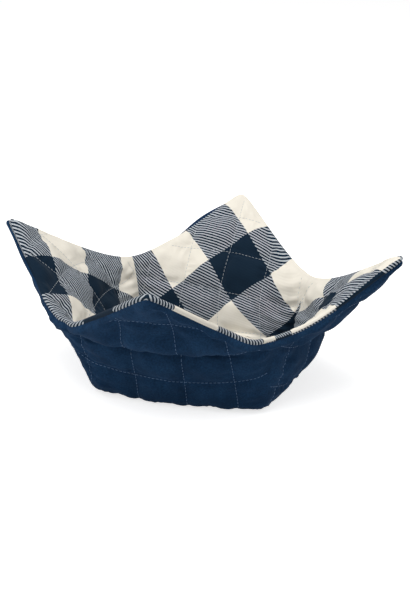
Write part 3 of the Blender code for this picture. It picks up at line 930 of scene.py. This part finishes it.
def swelled(cloth, side, shown, held):
    """Cloth simulation of the shown face: held along its stitches, seams and rim, cut a little larger than its
    place and pushed out by the wadding. It runs at twenty times the size, where Blender's cloth is stable."""
    quads = cloth.quads if side > 0 else cloth.quads[:, ::-1]
    piece = new_mesh("swelling", shown * SWELL_SCALE, [quads])
    group = piece.vertex_groups.new(name="held")
    steps = np.round(held, 2)
    for step in np.unique(steps[steps > 0.0]):
        group.add(np.flatnonzero(steps == step).tolist(), float(step), "REPLACE")
    cloth_modifier = piece.modifiers.new("cloth", "CLOTH")
    settings = cloth_modifier.settings
    settings.quality = 4
    settings.mass = 0.3
    settings.tension_stiffness = settings.compression_stiffness = 15.0
    settings.shear_stiffness = 5.0
    settings.bending_stiffness = 0.5
    settings.vertex_group_mass = "held"
    settings.pin_stiffness = 1.0
    settings.shrink_min = -SWELL_EASE
    settings.use_pressure = True
    settings.uniform_pressure_force = SWELL_PRESSURE
    settings.effector_weights.gravity = 0.0
    cloth_modifier.collision_settings.use_collision = False
    cloth_modifier.collision_settings.use_self_collision = False
    cloth_modifier.point_cache.frame_start = 1
    cloth_modifier.point_cache.frame_end = SWELL_FRAMES
    scene = bpy.context.scene
    for number in range(1, SWELL_FRAMES + 1):
        scene.frame_set(number)
    result = piece.evaluated_get(bpy.context.evaluated_depsgraph_get()).to_mesh()
    moved = values_of(result.vertices, "co", 3)
    mesh = piece.data
    bpy.data.objects.remove(piece)
    bpy.data.meshes.remove(mesh)
    scene.frame_set(1)
    move = moved / SWELL_SCALE - shown
    length = np.linalg.norm(move, axis=1, keepdims=True)
    return shown + move * np.minimum(1.0, SWELL_CAP / np.maximum(length, 1e-9))


def make_layer(sizes, side):
    """The cloth, and the shown surface of one layer with its puffs, rim and bunched wadding: middle + normal x
    (half gap + thickness), then swelled by its wadding. The outer layer has a ridge of height x sin2 under its
    rim, where the seam allowance lies."""
    cut = Cut(sizes)
    cloth = Cloth(cut)
    pitch, start = quilting(sizes, side)
    places = quilted_places(side, cloth.flat)
    puff = puff_share(cut, sizes, cloth.flat, places, pitch, start)
    to_rim, to_seam = flat_distances(cut, cloth.flat)
    at_rim = 1.0 - smooth_step(to_rim / RIM_REACH)
    thickness = sizes.stitched_thickness * (1.0 - (1.0 - RIM_THICKNESS) * at_rim) + sizes.puff_height * puff
    if side == OUTER:
        ridge = np.clip((to_rim - RIDGE_START) / RIDGE_WIDTH, 0.0, 1.0)
        thickness = thickness + RIDGE_HEIGHT * np.sin(math.pi * ridge)**2
    bunched = bumps(cloth.flat, OUTER_BUNCHES if side < 0 else LINING_BUNCHES)
    thickness = thickness + bunched * smooth_step(to_rim / (2.0 * RIM_REACH))
    shown = cloth.points + cloth.normals * (side * (cut.gap_half + thickness))[:, None]
    lines = to_stitches(places, pitch, start).min(axis=-1)
    nearest = np.minimum.reduce([lines, to_rim, to_seam])
    held = 1.0 - smooth_step((nearest - HELD_REACH) / HELD_FADE)
    shown = swelled(cloth, side, shown, held)
    shown[:, 2] = np.maximum(shown[:, 2], 0.0)
    return cloth, shown


def make_stitches(name, thread, cloth, sizes, side, settled):
    """Lays a layer's running stitches on its settled surface."""
    normals = side * vertex_normals(settled, cloth.quads)
    centres, directions = stitch_centres(cloth.cut, sizes, side)
    points, faces = stitch_mesh(cloth, sizes, settled, normals, centres, directions)
    stitches = new_mesh(name, points, faces, materials=[thread])
    finish_normals(stitches)
    return stitches


class COZY_OT_outer(bpy.types.Operator):
    """Makes the padded outer layer and its quilting stitches."""

    bl_idname = "cozy.outer"
    bl_label = "Outer layer"

    def execute(self, context):
        sizes, colours = context.scene.cozy_sizes, context.scene.cozy_colours
        cloth, shown = make_layer(sizes, OUTER)
        gap, thick = cloth.cut.gap_half, sizes.stitched_thickness * RIM_THICKNESS
        rim = np.unique(np.concatenate(cloth.rim))
        outwards = rim_directions(cloth)
        lift = bumps(cloth.flat[rim], RIM_BARES)
        shown[rim] += outwards[rim] * (lift - OUTER_DROP)[:, None]
        profile = [(gap + thick * share, lift - INSIDE_DROP) for share in (0.75, 0.25)]
        points, faces, flats = layer_mesh(cloth, OUTER, shown, profile, profile, [0.001, 0.002])
        piece = new_mesh("outer_layer", points, faces, flats, [brushed_cotton(colours)], looseness(cloth))
        finish_normals(piece)
        settled = settle(piece, cloth, *quilting(sizes, OUTER), seed=3)
        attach(piece, "root")
        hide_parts("outer_shell")

        thread = sewing_thread("pale blue quilting thread", colours.outer_thread)
        stitches = make_stitches("outer_stitches", thread, cloth, sizes, OUTER, settled)
        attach(stitches, "root")
        return {"FINISHED"}


class COZY_OT_lining(bpy.types.Operator):
    """Makes the padded check lining and its quilting stitches."""

    bl_idname = "cozy.lining"
    bl_label = "Lining"

    def execute(self, context):
        sizes, colours = context.scene.cozy_sizes, context.scene.cozy_colours
        cloth, shown = make_layer(sizes, LINING)
        gap, thick = cloth.cut.gap_half, sizes.stitched_thickness
        radius = gap + thick * RIM_THICKNESS
        # The lining rolls over the edge in a half round and is tucked in again behind the outer layer's edge
        angles = np.radians(ROLL_ANGLES)
        profile = [(radius * math.cos(a), ROLL_BULGE * math.sin(a)) for a in angles]
        profile += [(past - radius, out) for past, out, _ in ROLL_TAIL] + [(-gap, ROLL_END[0])]
        beyond = [radius * a * ROLL_PRINT for a in angles]
        beyond += [beyond[-1] + further for further in (*(row[2] for row in ROLL_TAIL), ROLL_END[1])]
        edge = 0.5 * (radius - gap)
        bare_angles = math.pi * np.arange(1, len(profile) + 1) / (len(profile) + 1)
        bare_profile = [(gap + edge + edge * math.cos(a), BARE_BULGE * (math.sin(a) - 1.0)) for a in bare_angles]
        points, faces, flats = layer_mesh(cloth, LINING, shown, profile, bare_profile, beyond)
        flats = [eased(cloth.cut, flat) for flat in flats]
        piece = new_mesh("check_lining", points, faces, flats, [check_twill(sizes, colours)], looseness(cloth))
        finish_normals(piece)
        settled = settle(piece, cloth, *quilting(sizes, LINING), seed=8)
        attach(piece, "root")
        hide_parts("inner_lining")

        thread = sewing_thread("pale quilting thread", colours.lining_thread)
        stitches = make_stitches("lining_stitches", thread, cloth, sizes, LINING, settled)
        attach(stitches, "root")
        return {"FINISHED"}


def seen_directly(tree):
    """Socket that is 1 for camera, glossy and transmission rays and 0 for the rest."""
    path = add_node(tree, "LightPath")
    seen = add_node(tree, "Math", {0: path.outputs["Is Camera Ray"], 1: path.outputs["Is Glossy Ray"]},
                    operation="MAXIMUM")
    return add_node(tree, "Math", {0: seen, 1: path.outputs["Is Transmission Ray"]},
                    operation="MAXIMUM").outputs[0]


class COZY_OT_stage(bpy.types.Operator):
    """Sets up the pale floor, the soft lamps and the camera."""

    bl_idname = "cozy.stage"
    bl_label = "Stage"

    def execute(self, context):
        colours = context.scene.cozy_colours
        scene = context.scene
        scene.view_settings.view_transform = "Standard"
        square = np.array([[-1.0, -1.0, 0.0], [1.0, -1.0, 0.0], [1.0, 1.0, 0.0], [-1.0, 1.0, 0.0]])
        floor = new_mesh("floor", square * FLOOR_HALF, [np.array([[0, 1, 2, 3]])])
        material, tree, shader = new_material("matt paper sweep", {
            "Base Color": colours.floor, "Roughness": 1.0, "Specular IOR Level": 0.0,
            "Emission Color": (1.0, 1.0, 1.0, 1.0),
        })
        glow = add_node(tree, "Math", {0: seen_directly(tree), 1: FLOOR_GLOW}, operation="MULTIPLY")
        tree.links.new(glow.outputs[0], shader.inputs["Emission Strength"])
        floor.data.materials.append(material)

        world = scene.world or bpy.data.worlds.new("studio")
        scene.world = world
        world.use_nodes = True
        tree = world.node_tree
        background = tree.nodes["Background"]
        strength = add_node(tree, "MapRange", {"Value": seen_directly(tree), "To Min": WORLD_LEVEL, "To Max": 1.0})
        background.inputs["Color"].default_value = (1.0, 1.0, 1.0, 1.0)
        tree.links.new(strength.outputs[0], background.inputs["Strength"])

        for name, place, size, power in LAMPS:
            data = bpy.data.lights.new(name, "AREA")
            data.shape = "SQUARE"
            data.size = size
            data.energy = power
            lamp = bpy.data.objects.new(name, data)
            lamp.location = place
            lamp.rotation_euler = (Vector(LAMP_AIM) - Vector(place)).to_track_quat("-Z", "Y").to_euler()
            scene.collection.objects.link(lamp)

        azimuth, elevation, roll = math.radians(AZIMUTH), math.radians(ELEVATION), math.radians(ROLL)
        right = Vector((math.cos(azimuth), math.sin(azimuth), 0.0))
        forward = Vector((-math.sin(azimuth) * math.cos(elevation), math.cos(azimuth) * math.cos(elevation),
                          -math.sin(elevation)))
        upward = right.cross(forward)
        turned_right = right * math.cos(roll) + upward * math.sin(roll)
        turned_up = upward * math.cos(roll) - right * math.sin(roll)
        data = bpy.data.cameras.new("camera")
        data.sensor_fit = "VERTICAL"
        data.sensor_height = 36.0
        data.lens, data.shift_x, data.shift_y = LENS, SHIFT_X, SHIFT_Y
        camera = bpy.data.objects.new("camera", data)
        basis = Matrix((turned_right, turned_up, -forward)).transposed().to_4x4()
        basis.translation = Vector(LOOK_AT) - forward * DISTANCE
        camera.matrix_world = basis
        scene.collection.objects.link(camera)
        scene.camera = camera
        return {"FINISHED"}


class COZY_PT_panel(bpy.types.Panel):
    """Lists the steps, sizes and colours of the cozy."""

    bl_idname = "COZY_PT_panel"
    bl_label = "Quilted Bowl Cozy"
    bl_space_type = "VIEW_3D"
    bl_region_type = "UI"
    bl_category = "Cozy"

    def draw(self, context):
        for step in STEPS:
            self.layout.operator(step.bl_idname)
        for group in (context.scene.cozy_sizes, context.scene.cozy_colours):
            box = self.layout.box()
            for name in group.__annotations__:
                box.prop(group, name)


STEPS = (COZY_OT_outer, COZY_OT_lining, COZY_OT_stage)
CLASSES = (CozySizes, CozyColours, *STEPS, COZY_PT_panel)


def register():
    """Registers the classes and hangs the sizes and colours on the scene."""
    for item in CLASSES:
        bpy.utils.register_class(item)
    bpy.types.Scene.cozy_sizes = PointerProperty(type=CozySizes)
    bpy.types.Scene.cozy_colours = PointerProperty(type=CozyColours)


def unregister():
    """Takes all of it off again."""
    del bpy.types.Scene.cozy_colours
    del bpy.types.Scene.cozy_sizes
    for item in reversed(CLASSES):
        bpy.utils.unregister_class(item)


def main():
    """Registers the add-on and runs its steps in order."""
    register()
    for step in STEPS:
        group, name = step.bl_idname.split(".")
        getattr(getattr(bpy.ops, group), name)()


if __name__ == "__main__":
    main()
